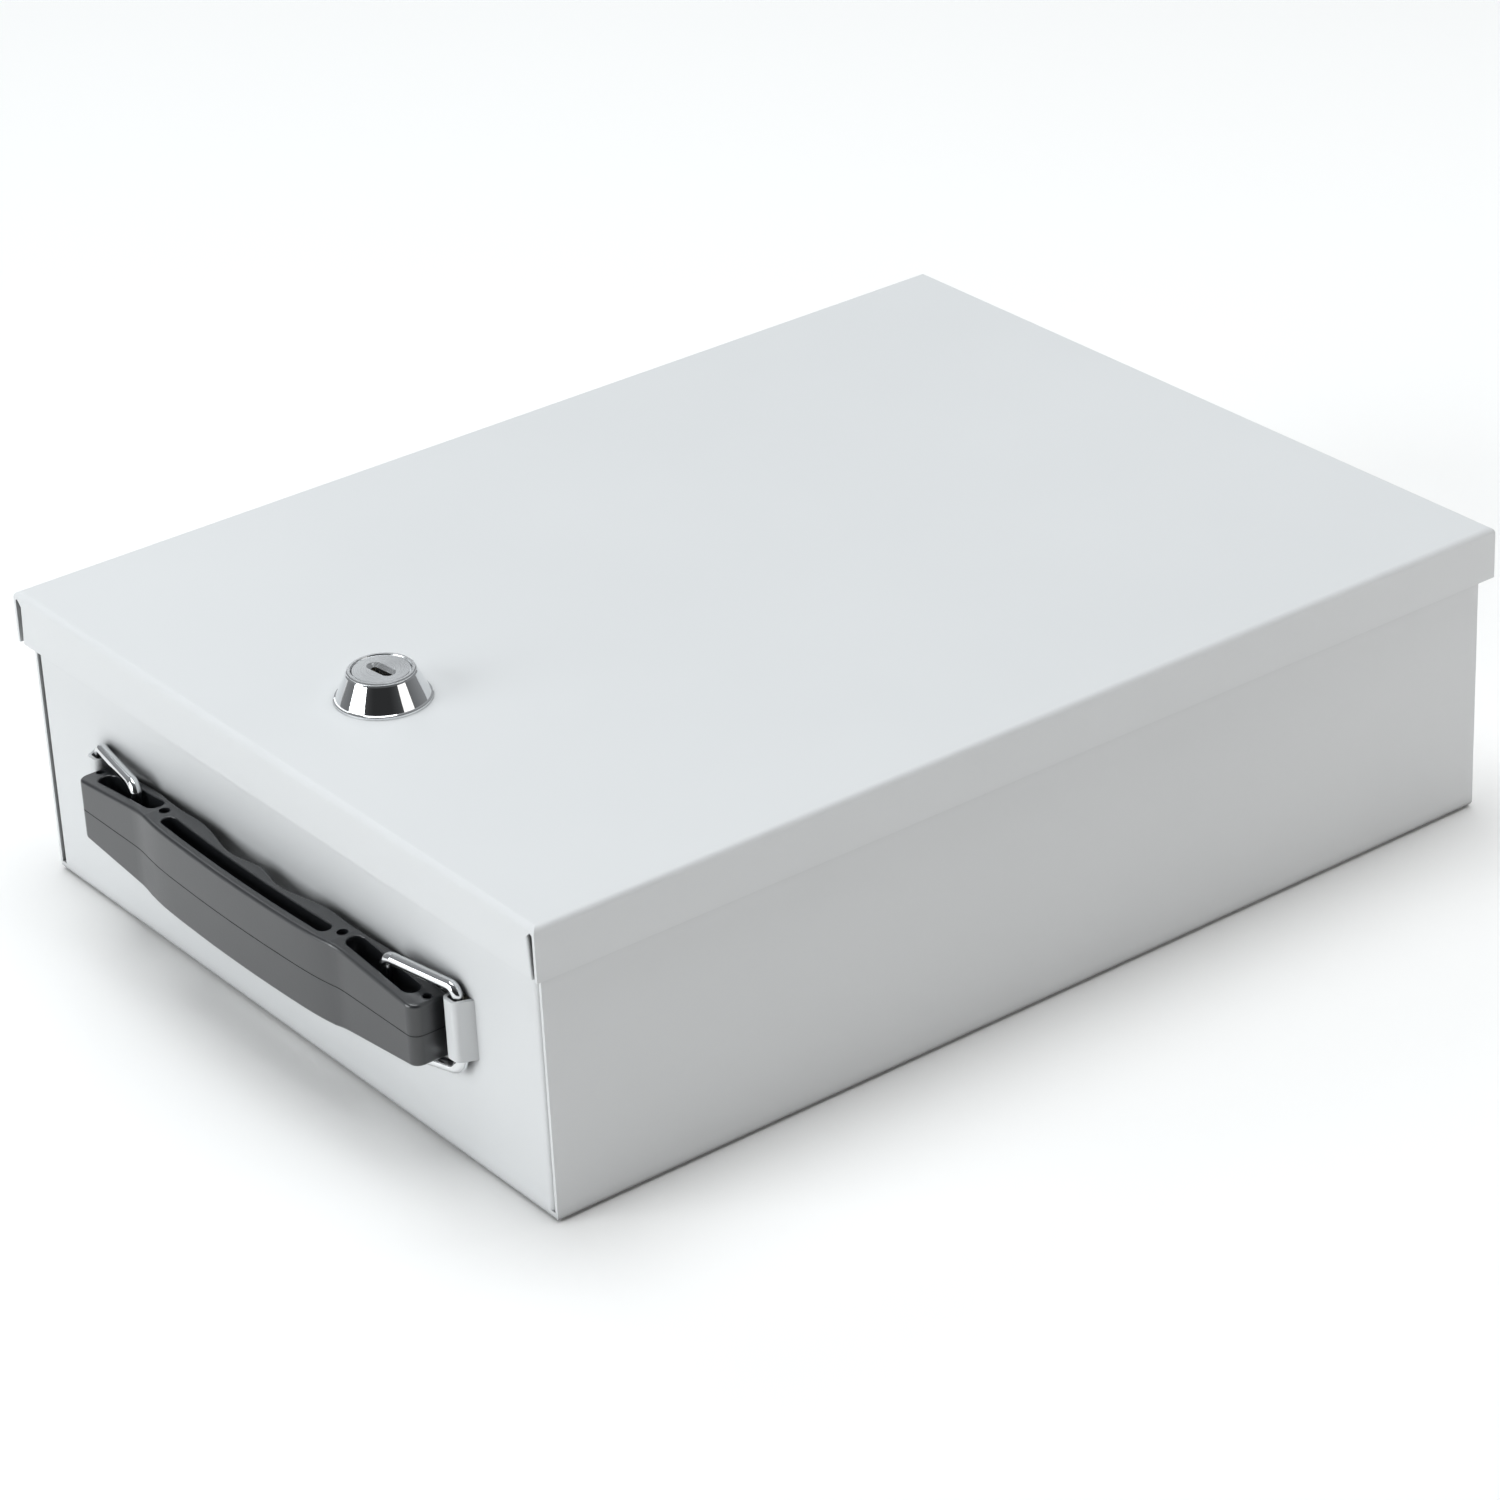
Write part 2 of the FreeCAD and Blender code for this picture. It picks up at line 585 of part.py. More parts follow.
def lid_inner_pan():
    """Inner tray of the lid; it dips into the liner and holds the lid's own insulation."""
    low = size("pan_floor")
    deep = "(%s + %s)" % (PAN_FRONT, PAN_REAR)
    tall = "(box_height - sheet - pan_floor)"
    outer = block("pan_outer", "2 * " + PAN_X, deep, tall, "-" + PAN_X, "-" + PAN_FRONT, "pan_floor")
    outside = rounded(
        "pan_outside", outer, size("bend"), lambda middle, run: is_upright(run) or middle.z < low + 0.01)
    flange = block(
        "pan_flange", "2 * %s + 6" % PAN_X, deep + " + 6", "sheet", "-%s - 3" % PAN_X, "-%s - 3" % PAN_FRONT,
        "box_height - 2 * sheet")
    hollow = block(
        "pan_hollow", "2 * %s - 2 * sheet" % PAN_X, deep + " - 2 * sheet", tall, "sheet - " + PAN_X,
        "sheet - " + PAN_FRONT, "pan_floor + sheet")
    inside = rounded(
        "pan_inside", hollow, size("bend") - size("sheet"),
        lambda middle, run: is_upright(run) or middle.z < low + size("sheet") + 0.01)
    hole = rod("pan_lock_hole", "barrel_radius + fit_gap", "4 * sheet", LOCK_X, LOCK_Y, "pan_floor - sheet")
    return cut("lid_inner_pan", join("pan_folded", [outside, flange]), [inside, hole])


def lid_insulation():
    """Slab of mineral board between lid and pan, bored for the lock."""
    slack = "(sheet + 4 * fit_gap)"
    slab = block(
        "lid_slab", "2 * %s - 2 * %s" % (PAN_X, slack), "%s + %s - 2 * %s" % (PAN_FRONT, PAN_REAR, slack),
        "box_height - sheet - pan_floor - %s - fit_gap" % slack, "%s - %s" % (slack, PAN_X),
        "%s - %s" % (slack, PAN_FRONT), "pan_floor + " + slack)
    hole = rod("lid_slab_hole", "barrel_radius + 4 * fit_gap", "fill + 4", LOCK_X, LOCK_Y, "pan_floor - 1")
    return cut("lid_insulation", slab, [hole])


# --- Hinges -------------------------------------------------------------------------------

def knuckle(name, centre, start, width, radius):
    """A rod on the hinge axis, measured along X from the middle of a hinge."""
    return rod(name, radius, width, "%s + %s" % (centre, start), PIN_Y, "pin_height", "x")


def hinge(name, centre):
    """One hinge: body leaf with two knuckles, lid leaf with one, and the pin."""
    half = "hinge_width / 2"
    middle = "(hinge_width / 2 - knuckle_width)"

    plate = block(
        name + "_body_plate", "hinge_width", "leaf", "pin_height - leaf_low", "%s - %s" % (centre, half),
        REAR_WALL, "leaf_low")
    window = block(
        name + "_body_window", "2 * " + middle, "3 * leaf", "2 * knuckle_radius",
        "%s - %s" % (centre, middle),
        REAR_WALL + " - leaf", "pin_height - knuckle_radius - 0.5")
    barrels = [
        knuckle(name + "_body_knuckle_a", centre, "-hinge_width / 2", "knuckle_width", "knuckle_radius"),
        knuckle(name + "_body_knuckle_b", centre, middle, "knuckle_width", "knuckle_radius"),
    ]
    bore = knuckle(name + "_body_bore", centre, "-hinge_width", "2 * hinge_width", "pin_radius + 0.05")
    body_leaf = cut(name + "_body_leaf", join(name + "_body_folded", [plate] + barrels), [window, bore])

    inner = "(%s - knuckle_gap)" % middle
    neck = block(
        name + "_lid_neck", "2 * " + inner, "leaf", "leaf_high - pin_height", "%s - %s" % (centre, inner),
        "lid_depth / 2", "pin_height")
    wide = block(
        name + "_lid_plate", "hinge_width", "leaf", "leaf_high - pin_height - knuckle_radius - leaf",
        "%s - %s" % (centre, half), "lid_depth / 2", "pin_height + knuckle_radius + leaf")
    barrel = knuckle(name + "_lid_knuckle", centre, "-" + inner, "2 * " + inner, "knuckle_radius")
    sleeve = knuckle(
        name + "_lid_bore", centre, "-hinge_width", "2 * hinge_width", "pin_radius + running_gap")
    lid_leaf = cut(name + "_lid_leaf", join(name + "_lid_folded", [neck, wide, barrel]), [sleeve])

    shank = knuckle(name + "_pin_shank", centre, "-hinge_width / 2 - 0.6", "hinge_width + 1.2", "pin_radius")
    heads = [
        knuckle(name + "_pin_head_a", centre, "-hinge_width / 2 - 0.9", "0.8", "pin_radius + 0.7"),
        knuckle(name + "_pin_head_b", centre, "hinge_width / 2 + 0.1", "0.8", "pin_radius + 0.7"),
    ]
    pin = join(name + "_pin", [shank] + heads)
    return {name + "_body_leaf": body_leaf, name + "_lid_leaf": lid_leaf, name + "_pin": pin}


# --- Lock ---------------------------------------------------------------------------------
# Every piece of the lock is drawn about its own axis, with zero at the top of the lid.

def at_lock(obj):
    return move(obj, LOCK_X, LOCK_Y, "box_height")


def turned(node, outline):
    """A turned piece from an outline in radius and height."""
    body = new_body(node)
    sketch = new_sketch(body, "XZ_Plane", node + "_outline")
    polyline(sketch, outline)
    body.Tip = revolve(body, sketch, node + "_turned")
    return body


def lock_rosette():
    """Chromed conical collar round the lock."""
    bore = size("housing_radius") + size("fit_gap")
    foot = size("rosette_radius")
    top = size("rosette_top")
    high = size("lock_height") - 0.5
    return at_lock(turned("lock_rosette", [
        (bore, 0), (foot, 0), (foot, 0.5), (foot - 0.2, 0.7), (foot - 0.5, 0.8),
        (top + 0.12, high - 0.3), (top - 0.1, high), (bore, high)]))


def lock_housing():
    """Barrel of the lock with a lip over the collar and a thread for the nut."""
    bore = size("plug_radius") + size("running_gap")
    seat = size("plug_head_radius") + size("running_gap")
    top = size("lock_height")
    lip = size("lip_radius")
    head = size("housing_radius")
    barrel = size("barrel_radius")
    low = -size("barrel_length")
    return at_lock(turned("lock_housing", [
        (seat + 0.15, top), (lip - 0.25, top), (lip, top - 0.25), (lip, top - 0.5), (head, top - 0.5),
        (head, 0), (barrel, 0), (barrel, low), (bore, low), (bore, top - 3.0), (seat, top - 3.0),
        (seat, top - 0.4)]))


def lock_nut():
    """Hexagon nut that clamps the lock from below."""
    body = new_body("lock_nut")
    sketch = new_sketch(body, "XY_Plane", "nut_outline")
    corner = size("nut_flats") / math.sqrt(3)
    polyline(sketch, [
        (corner * math.cos(math.radians(60 * k)), corner * math.sin(math.radians(60 * k))) for k in range(6)])
    circle(sketch, 0, 0, "barrel_radius + fit_gap / 2")
    body.Tip = pad(body, sketch, "nut_hexagon", "nut_height")
    return move(body, LOCK_X, LOCK_Y, "pan_floor - nut_washer - nut_height")


def ring_plate(node, outer, inner, thickness):
    """A flat washer."""
    body = new_body(node)
    sketch = new_sketch(body, "XY_Plane", node + "_outline")
    circle(sketch, 0, 0, outer)
    circle(sketch, 0, 0, inner)
    body.Tip = pad(body, sketch, node + "_plate", thickness)
    return body


def wafer_levels():
    """Heights of the five wafers, from the top of the lid."""
    return [size("wafer_pitch") * (k - 3) for k in range(5)]


def lock_plug():
    """Turning plug: keyhole, slots for the wafers, and a square shank for the cam."""
    radius = size("plug_radius")
    head = size("plug_head_radius")
    top = size("lock_height") - 0.2
    seat = size("lock_height") - 2.9
    low = -size("barrel_length") - 0.2
    body = turned("lock_plug", [
        (0, top), (head - 0.2, top), (head, top - 0.2), (head, seat), (radius, seat), (radius, low),
        (0, low)])
    square = new_sketch(body, "XY_Plane", "plug_shank_square", low - size("cam_sheet") + 0.1)
    half = size("shank") / 2
    rectangle(square, -half, -half, half, half)
    pad(body, square, "plug_shank", "cam_sheet + 0.5")
    tapped = new_sketch(body, "XY_Plane", "plug_tapped_circle", low - size("cam_sheet") - 1)
    circle(tapped, 0, 0, "screw_radius + fit_gap / 2")
    pocket(body, tapped, "plug_tapped_hole", "cam_sheet + 6.5", reverse=True)
    angle = size("key_angle")
    keyway = new_sketch(body, "XY_Plane", "plug_keyway_outline", top, angle)
    slot(keyway, -size("key_width") / 2, size("key_width") / 2, 0, size("key_thickness") / 2)
    hole = pocket(body, keyway, "plug_keyway", "lock_height + 8")
    widened = dress(
        body, hole, "Chamfer", "plug_keyhole_funnel", 0.85,
        lambda middle, run: abs(middle.z - top) < 0.01 and middle.x ** 2 + middle.y ** 2 < 16)
    body.Tip = widened
    half_slot = size("wafer_width") / 2 + 0.05
    for number, level in enumerate(wafer_levels()):
        outline = new_sketch(
            body, "XY_Plane", "plug_wafer_outline_%d" % number, level + size("wafer") / 2 + 0.05, angle)
        rectangle(outline, -radius - 1, -half_slot, radius + 1, half_slot)
        body.Tip = pocket(body, outline, "plug_wafer_slot_%d" % number, "wafer + 0.1")
    return at_lock(body)


def wafer_tumblers():
    """Five wafers, drawn back inside the plug; each has a key window and a spring notch."""
    wafers = []
    for number, level in enumerate(wafer_levels()):
        low = str(level - size("wafer") / 2)
        disc = rod("wafer_disc_%d" % number, "plug_radius - 0.3", "wafer", "0", "0", low)
        strip = block(
            "wafer_strip_%d" % number, "2 * plug_radius", "wafer_width", "wafer", "-plug_radius",
            "-wafer_width / 2", low)
        blank = doc.addObject("Part::Common", "wafer_blank_%d" % number)
        blank.Base = disc
        blank.Tool = strip
        window = block(
            "wafer_window_%d" % number, "key_width + 0.5", "key_thickness + 0.4", "3 * wafer",
            "-key_width / 2 - 0.25", "-key_thickness / 2 - 0.2", "%s - wafer" % low)
        notch = block(
            "wafer_notch_%d" % number, "4", "wafer_width / 2", "3 * wafer", "-2", "wafer_width / 2 - 1.25",
            "%s - wafer" % low)
        wafers.append(cut("wafer_%d" % number, blank, [window, notch]))
    return turned_group("wafer_tumblers", wafers)


def turned_group(node, pieces):
    """Loose pieces kept together as one node, turned with the keyhole."""
    group = doc.addObject("Part::Compound", node)
    group.Links = pieces
    group.Placement = FreeCAD.Placement(
        FreeCAD.Vector(), FreeCAD.Rotation(FreeCAD.Vector(0, 0, 1), size("key_angle")))
    return at_lock(group)


def wafer_springs():
    """Five small coil springs, one in the notch of each wafer."""
    springs = []
    coil_radius = 0.35
    along_x = FreeCAD.Rotation(FreeCAD.Vector(0, 1, 0), 90)
    for number, level in enumerate(wafer_levels()):
        middle = FreeCAD.Vector(-1.7, size("wafer_width") / 2 - 0.62, level)
        coil = doc.addObject("Part::Helix", "spring_path_%d" % number)
        coil.Pitch = 0.68
        coil.Height = 3.4
        coil.Radius = coil_radius
        coil.Placement = FreeCAD.Placement(middle, along_x)
        wire = doc.addObject("Part::Circle", "spring_wire_%d" % number)
        wire.Radius = 0.17
        start = middle.add(along_x.multVec(FreeCAD.Vector(coil_radius, 0, 0)))
        wire.Placement = FreeCAD.Placement(start, FreeCAD.Rotation(FreeCAD.Vector(1, 0, 0), 90))
        spring = doc.addObject("Part::Sweep", "spring_%d" % number)
        spring.Sections = [wire]
        spring.Spine = (coil, ["Edge1"])
        spring.Solid = True
        spring.Frenet = True
        springs.append(spring)
    return turned_group("wafer_springs", springs)


def lock_cam():
    """Flat cam on the square shank; it turns under the lip of the strike plate."""
    body = new_body("lock_cam")
    outline = new_sketch(body, "XY_Plane", "cam_outline")
    slot(outline, -6.5, size("cam_length"), 0, size("cam_width") / 2)
    half = size("shank") / 2 + 0.05
    rectangle(outline, -half, -half, half, half)
    body.Tip = pad(body, outline, "cam_plate", "cam_sheet")
    return move(body, LOCK_X, LOCK_Y, "box_height - barrel_length - 0.2 - cam_sheet")


def cam_screw():
    """Cross-recessed screw that holds the cam."""
    thread = size("screw_radius")
    body = turned("cam_screw", [
        (0, 0), (3.2, 0), (3.5, 0.3), (3.5, 2.2), (thread, 2.2), (thread, 9.2), (0, 9.2)])
    recess = new_sketch(body, "XY_Plane", "screw_recess_outline")
    arm = 0.45
    reach = 2.1
    polyline(recess, [
        (-arm, -reach), (arm, -reach), (arm, -arm), (reach, -arm), (reach, arm), (arm, arm), (arm, reach),
        (-arm, reach), (-arm, arm), (-reach, arm), (-reach, -arm), (-arm, -arm)])
    body.Tip = pocket(body, recess, "screw_recess", "1.3", reverse=True)
    return move(body, LOCK_X, LOCK_Y, "box_height - barrel_length - 1 - cam_sheet - 2.2")


# --- Handle -------------------------------------------------------------------------------
# The grip is drawn about its own middle: x along it, y in front of the wall (negative), z up.

def curve(sketch, points, start_slope=None, end_slope=None):
    """A smooth curve through points, level at both ends unless told otherwise."""
    spline = Part.BSplineCurve()
    vectors = [FreeCAD.Vector(x, y, 0) for x, y in points]
    spline.interpolate(
        Points=vectors, InitialTangent=FreeCAD.Vector(*(start_slope or (1, 0)), 0),
        FinalTangent=FreeCAD.Vector(*(end_slope or (1, 0)), 0))
    sketch.addGeometry(spline, False)


def mirrored(points):
    """The points of the right half, continued to the left."""
    return [(-x, y) for x, y in reversed(points) if x > 0] + points


def grip_outline(sketch, inset):
    """The grip seen from above: bowed outwards, wavy towards the wall, drawn smaller by the inset."""
    half = size("grip_length") / 2 - inset
    corner = 2.5
    heel = 1.0
    outer_end = inset - 10.3
    inner_end = -1.0 - inset
    outer = mirrored([
        (0, inset - 12.6), (10, inset - 12.52), (20, inset - 12.25), (29, inset - 11.85), (33, inset - 11.5),
        (37, inset - 10.95), (43, inset - 10.42)])
    inner = mirrored([
        (0, -3.5 - inset), (5, -4.35 - inset), (10, -5.0 - inset), (18, -3.6 - inset), (26, -2.4 - inset),
        (35.5, -2.7 - inset), (45, -1.5 - inset), (53, -1.25 - inset)])
    slant = math.sqrt(0.5)
    curve(sketch, outer)
    curve(sketch, inner, (1, 0.02), (1, -0.02))
    for side in (-1, 1):
        def at(x, y):
            return FreeCAD.Vector(side * x, y, 0)
        polyline_3d(sketch, [at(outer[-1][0], outer[-1][1]), at(half - corner, outer_end)])
        sketch.addGeometry(Part.Arc(
            at(half - corner, outer_end),
            at(half - corner * (1 - slant), outer_end + corner * (1 - slant)),
            at(half, outer_end + corner)), False)
        polyline_3d(sketch, [at(half, outer_end + corner), at(half, inner_end - heel)])
        sketch.addGeometry(Part.Arc(
            at(half, inner_end - heel),
            at(half - heel * (1 - slant), inner_end - heel * (1 - slant)),
            at(half - heel, inner_end)), False)
        polyline_3d(sketch, [at(half - heel, inner_end), at(inner[-1][0], inner[-1][1])])


def grip_block(body):
    """The solid of the grip: its outline pulled up and down, tapered beyond the knees, edges softened."""
    plan = new_sketch(body, "XY_Plane", "grip_plan")
    grip_outline(plan, 0.0)
    pad(body, plan, "grip_block", "grip_tall", symmetric=True)
    half = size("grip_length") / 2
    tall = size("grip_tall") / 2
    short = size("grip_short") / 2
    knee = size("grip_knee")
    slope = (tall - short) / (half - knee)
    taper = new_sketch(body, "XZ_Plane", "grip_taper_outline")
    for side in (-1, 1):
        for up in (-1, 1):
            polyline(taper, [
                (side * knee, up * tall), (side * (half + 5), up * (short - 5 * slope)),
                (side * (half + 5), up * (tall + 5)), (side * knee, up * (tall + 5))])
    tapered = pocket(body, taper, "grip_taper")
    return dress(
        body, tapered, "Fillet", "grip_soft_edges", 0.8,
        lambda middle, run: abs(middle.z) > short - 0.5 and abs(run.y) + abs(run.x) > 0.5
        and not (abs(abs(middle.x) - knee) < 0.01))


def grip_hollow(body, name, up):
    """One side's blind pockets: a long one in the middle and round ones beside the slots."""
    web = 1.0
    width = 1.75
    reach = 31.0
    middle = -8.65
    end = -7.85
    hollow = new_sketch(body, "XY_Plane", "grip_%s_hollow_outline" % name, up * web)
    for aside in (-width, width):
        hollow.addGeometry(Part.Arc(
            FreeCAD.Vector(-reach, end + aside, 0), FreeCAD.Vector(0, middle + aside, 0),
            FreeCAD.Vector(reach, end + aside, 0)), False)
    for side in (-1, 1):
        hollow.addGeometry(Part.Arc(
            FreeCAD.Vector(side * reach, end + width, 0), FreeCAD.Vector(side * (reach + width), end, 0),
            FreeCAD.Vector(side * reach, end - width, 0)), False)
        circle(hollow, side * 35.6, -6.1, "1.3")
        circle(hollow, side * 65.4, -5.0, "1.0")
    return pocket(body, hollow, "grip_%s_hollow" % name, "grip_tall", reverse=up > 0)


def handle_grip():
    """Moulded grip with a slot for a ring at each end, blind pockets and a mould line."""
    body = new_body("handle_grip")
    grip_block(body)
    end_slots = new_sketch(body, "XY_Plane", "grip_slot_outline")
    for side in (-1, 1):
        near = side * size("slot_inner")
        far = side * size("slot_outer")
        slot(end_slots, min(near, far), max(near, far), -size("grip_out"), size("slot_width") / 2)
    pocket(body, end_slots, "grip_slots")
    grip_hollow(body, "upper", 1)
    cored = grip_hollow(body, "lower", -1)

    def beside_slot(middle):
        return (size("slot_inner") - 0.01 < abs(middle.x) < size("slot_outer") + 0.01
                and abs(middle.y + size("grip_out")) < size("slot_width") / 2 + 0.01)

    def beside_pocket(middle):
        return abs(middle.x) < 33 and -10.6 < middle.y < -6.0

    softened = dress(
        body, cored, "Fillet", "grip_core_edges", 0.3,
        lambda middle, run: abs(middle.z) > 5 and not is_upright(run)
        and (beside_slot(middle) or beside_pocket(middle)))
    line = new_sketch(body, "XY_Plane", "grip_mould_line_outline")
    grip_outline(line, size("mould_line"))
    rectangle(line, -size("grip_length"), -20, size("grip_length"), 5)
    groove = body.newObject("PartDesign::Pocket", "grip_mould_line")
    groove.Profile = line
    groove.SideType = "Symmetric"
    body.Tip = bind(groove, Length="1.5 * mould_line")
    return move(body, x="-grip_aside", y=FRONT_WALL, z="grip_height")


def rounded_loop(sketch, corners):
    """A closed loop of straight lines with a given radius at every corner."""
    count = len(corners)
    points = [FreeCAD.Vector(x, y, 0) for x, y, radius in corners]
    starts = []
    ends = []
    for k, (x, y, radius) in enumerate(corners):
        here = points[k]
        before = points[k - 1].sub(here).normalize()
        after = points[(k + 1) % count].sub(here).normalize()
        half = before.getAngle(after) / 2
        reach = radius / math.tan(half)
        inward = before.add(after).normalize()
        middle = here.add(inward * (radius / math.sin(half) - radius))
        starts.append(here.add(before * reach))
        ends.append(here.add(after * reach))
        sketch.addGeometry(Part.Arc(starts[-1], middle, ends[-1]), False)
    for k in range(count):
        sketch.addGeometry(Part.LineSegment(ends[k], starts[(k + 1) % count]), False)


def ring(node, side):
    """One wire ring: a leg in the strap, a leg in the grip, and an arm above and below."""
    reach = size("ring_reach")
    high = size("ring_high")
    body = new_body(node)
    path = new_sketch(body, "XZ_Plane", node + "_path")
    rounded_loop(path, [
        (0, size("ring_low"), 3.3), (0, high, 2.2), (reach, high, 2.6), (reach, size("ring_low_grip"), 2.6)])
    section = new_sketch(body, "XY_Plane", node + "_section", (size("ring_low") + high) / 2)
    circle(section, 0, 0, "wire_radius")
    wire = body.newObject("PartDesign::AdditivePipe", node + "_wire")
    wire.Profile = section
    wire.Spine = path
    wire.Mode = "Frenet"
    body.Tip = wire
    angle = 180 + size("ring_angle") if side > 0 else -size("ring_angle")
    body.Placement = FreeCAD.Placement(
        FreeCAD.Vector(), FreeCAD.Rotation(FreeCAD.Vector(0, 0, 1), angle))
    return move(body, x="%d * strap_axis" % side, y=FRONT_WALL + " - ring_out")


def save_all(nodes):
    """Checks every object, then writes one file for each node."""
    doc.recompute()
    for obj in doc.Objects:
        if "Invalid" in obj.State or "Error" in obj.State:
            raise RuntimeError("failed object: %s %s" % (obj.Name, obj.State))
    os.makedirs(PARTS_FOLDER, exist_ok=True)
    for node, obj in nodes.items():
        obj.Label = node
        if obj.Shape.isNull() or not obj.Shape.isValid():
            raise RuntimeError("bad shape: " + node)
        obj.Shape.exportStep("%s/%s.step" % (PARTS_FOLDER, node))
        print("%-26s solids %d  volume %.0f" % (node, len(obj.Shape.Solids), obj.Shape.Volume))


pieces = {
    "body_shell": body_shell(),
    "inner_liner": inner_liner(),
    "rim_seal": rim_seal(),
    "strike_plate": strike_plate(),
    "strike_rivets": strike_rivets(),
    "lid_shell": lid_shell(),
    "lid_inner_pan": lid_inner_pan(),
    "lid_insulation": lid_insulation(),
    "lock_rosette": lock_rosette(),
    "lock_housing": lock_housing(),
    "lock_nut": lock_nut(),
    "lock_washer": move(
        ring_plate("lock_washer", "barrel_radius + 3", "barrel_radius + fit_gap", "nut_washer"),
        LOCK_X, LOCK_Y, "pan_floor - nut_washer"),
    "lock_plug": lock_plug(),
    "wafer_tumblers": wafer_tumblers(),
    "wafer_springs": wafer_springs(),
    "lock_cam": lock_cam(),
    "cam_washer": move(
        ring_plate("cam_washer", "5", "screw_radius + fit_gap", "0.8"),
        LOCK_X, LOCK_Y, "box_height - barrel_length - 1 - cam_sheet"),
    "cam_screw": cam_screw(),
    "handle_grip": handle_grip(),
    "ring_left": ring("ring_left", -1),
    "ring_right": ring("ring_right", 1),
}
pieces.update(insulation())
pieces.update(hinge("hinge_left", "-hinge_spacing"))
pieces.update(hinge("hinge_right", "hinge_spacing"))
save_all(pieces)
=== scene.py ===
import bpy
import json
import math
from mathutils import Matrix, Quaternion, Vector


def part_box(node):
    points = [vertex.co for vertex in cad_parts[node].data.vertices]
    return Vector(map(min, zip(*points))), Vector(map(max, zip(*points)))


# A fireproof document box: light grey powder-coated steel, chromed cam lock in the lid,
# black moulded grip on two chromed wire rings. Metres, X across the front, -Y front, +Z up.

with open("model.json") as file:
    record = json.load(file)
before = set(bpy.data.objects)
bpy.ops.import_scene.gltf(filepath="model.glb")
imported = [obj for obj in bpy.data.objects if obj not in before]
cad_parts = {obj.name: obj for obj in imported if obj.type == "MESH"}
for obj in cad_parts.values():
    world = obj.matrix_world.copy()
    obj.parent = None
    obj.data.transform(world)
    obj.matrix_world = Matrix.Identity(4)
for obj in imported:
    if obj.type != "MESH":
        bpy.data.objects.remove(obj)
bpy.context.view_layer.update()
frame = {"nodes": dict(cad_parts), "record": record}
nodes = frame["nodes"]
scene = bpy.context.scene


# --- Node helpers -------------------------------------------------------------------------

class Shader:
    """A material with a Principled shader and short ways to add texture nodes to it."""

    def __init__(self, name, **settings):
        self.material = bpy.data.materials.new(name)
        self.material.use_nodes = True
        self.tree = self.material.node_tree
        self.shader = self.tree.nodes["Principled BSDF"]
        for socket, amount in settings.items():
            self.shader.inputs[socket.replace("_", " ")].default_value = amount
        self.place = self.add("ShaderNodeTexCoord").outputs["Object"]

    def add(self, kind, **properties):
        """A new node of a kind, with its properties set."""
        node = self.tree.nodes.new(kind)
        for name, amount in properties.items():
            setattr(node, name, amount)
        return node

    def link(self, source, target):
        self.tree.links.new(source, target)

    def noise(self, per_metre, detail=2.0, roughness=0.5, stretch=(1, 1, 1)):
        """Noise from 0 to 1, with so many features in a metre."""
        mapping = self.add("ShaderNodeMapping")
        mapping.inputs["Scale"].default_value = stretch
        self.link(self.place, mapping.inputs["Vector"])
        node = self.add("ShaderNodeTexNoise")
        node.inputs["Scale"].default_value = per_metre
        node.inputs["Detail"].default_value = detail
        node.inputs["Roughness"].default_value = roughness
        self.link(mapping.outputs["Vector"], node.inputs["Vector"])
        return node.outputs["Fac"]

    def span(self, value, low, high, start=0.0, end=1.0):
        """Maps a value from start..end to low..high."""
        node = self.add("ShaderNodeMapRange")
        self.link(value, node.inputs["Value"])
        node.inputs["From Min"].default_value = start
        node.inputs["From Max"].default_value = end
        node.inputs["To Min"].default_value = low
        node.inputs["To Max"].default_value = high
        return node.outputs["Result"]

    def blend(self, factor, first, second):
        """A colour between two, by a factor."""
        node = self.add("ShaderNodeMix", data_type="RGBA")
        self.link(factor, node.inputs["Factor"])
        for socket, colour in (("A", first), ("B", second)):
            target = [i for i in node.inputs if i.name == socket and i.type == "RGBA"][0]
            target.default_value = (*colour, 1.0)
        return [o for o in node.outputs if o.type == "RGBA"][0]

    def bump(self, heights):
        """Bumps on top of each other: pairs of a height value and its depth in metres."""
        normal = None
        for value, depth in heights:
            node = self.add("ShaderNodeBump")
            node.inputs["Strength"].default_value = 1.0
            node.inputs["Distance"].default_value = depth
            self.link(value, node.inputs["Height"])
            if normal is not None:
                self.link(normal, node.inputs["Normal"])
            normal = node.outputs["Normal"]
        self.link(normal, self.shader.inputs["Normal"])

    def colour(self, value):
        self.link(value, self.shader.inputs["Base Color"])

    def rough(self, value):
        self.link(value, self.shader.inputs["Roughness"])

    def edges(self, radius, rounded, flat):
        """High on edges and 0 on flat faces, from the cosine between bevelled and true normal."""
        bevel = self.add("ShaderNodeBevel", samples=4)
        bevel.inputs["Radius"].default_value = radius
        geometry = self.add("ShaderNodeNewGeometry")
        cosine = self.add("ShaderNodeVectorMath", operation="DOT_PRODUCT")
        self.link(bevel.outputs["Normal"], cosine.inputs[0])
        self.link(geometry.outputs["Normal"], cosine.inputs[1])
        return self.span(cosine.outputs["Value"], 1.0, 0.0, rounded, flat)

    def with_painted_shade(self, colour, reach, darkest):
        """The colour with painted shade: darker inside seams, slots and narrow gaps, and under
        overhangs, where shade falls.
        """
        closed, free = 0.05, 0.88
        # Painted shade: occlusion within reach scales the colour down, as far as darkest in a closed
        # gap.
        openness = self.add("ShaderNodeAmbientOcclusion", samples=6)
        openness.inputs["Distance"].default_value = reach
        self.link(colour, openness.inputs["Color"])
        amount = self.span(openness.outputs["AO"], darkest, 1.0, closed, free)
        scaled = self.add("ShaderNodeVectorMath", operation="SCALE")
        self.link(colour, scaled.inputs[0])
        self.link(amount, scaled.inputs["Scale"])
        return scaled.outputs["Vector"]


# --- Materials ----------------------------------------------------------------------------

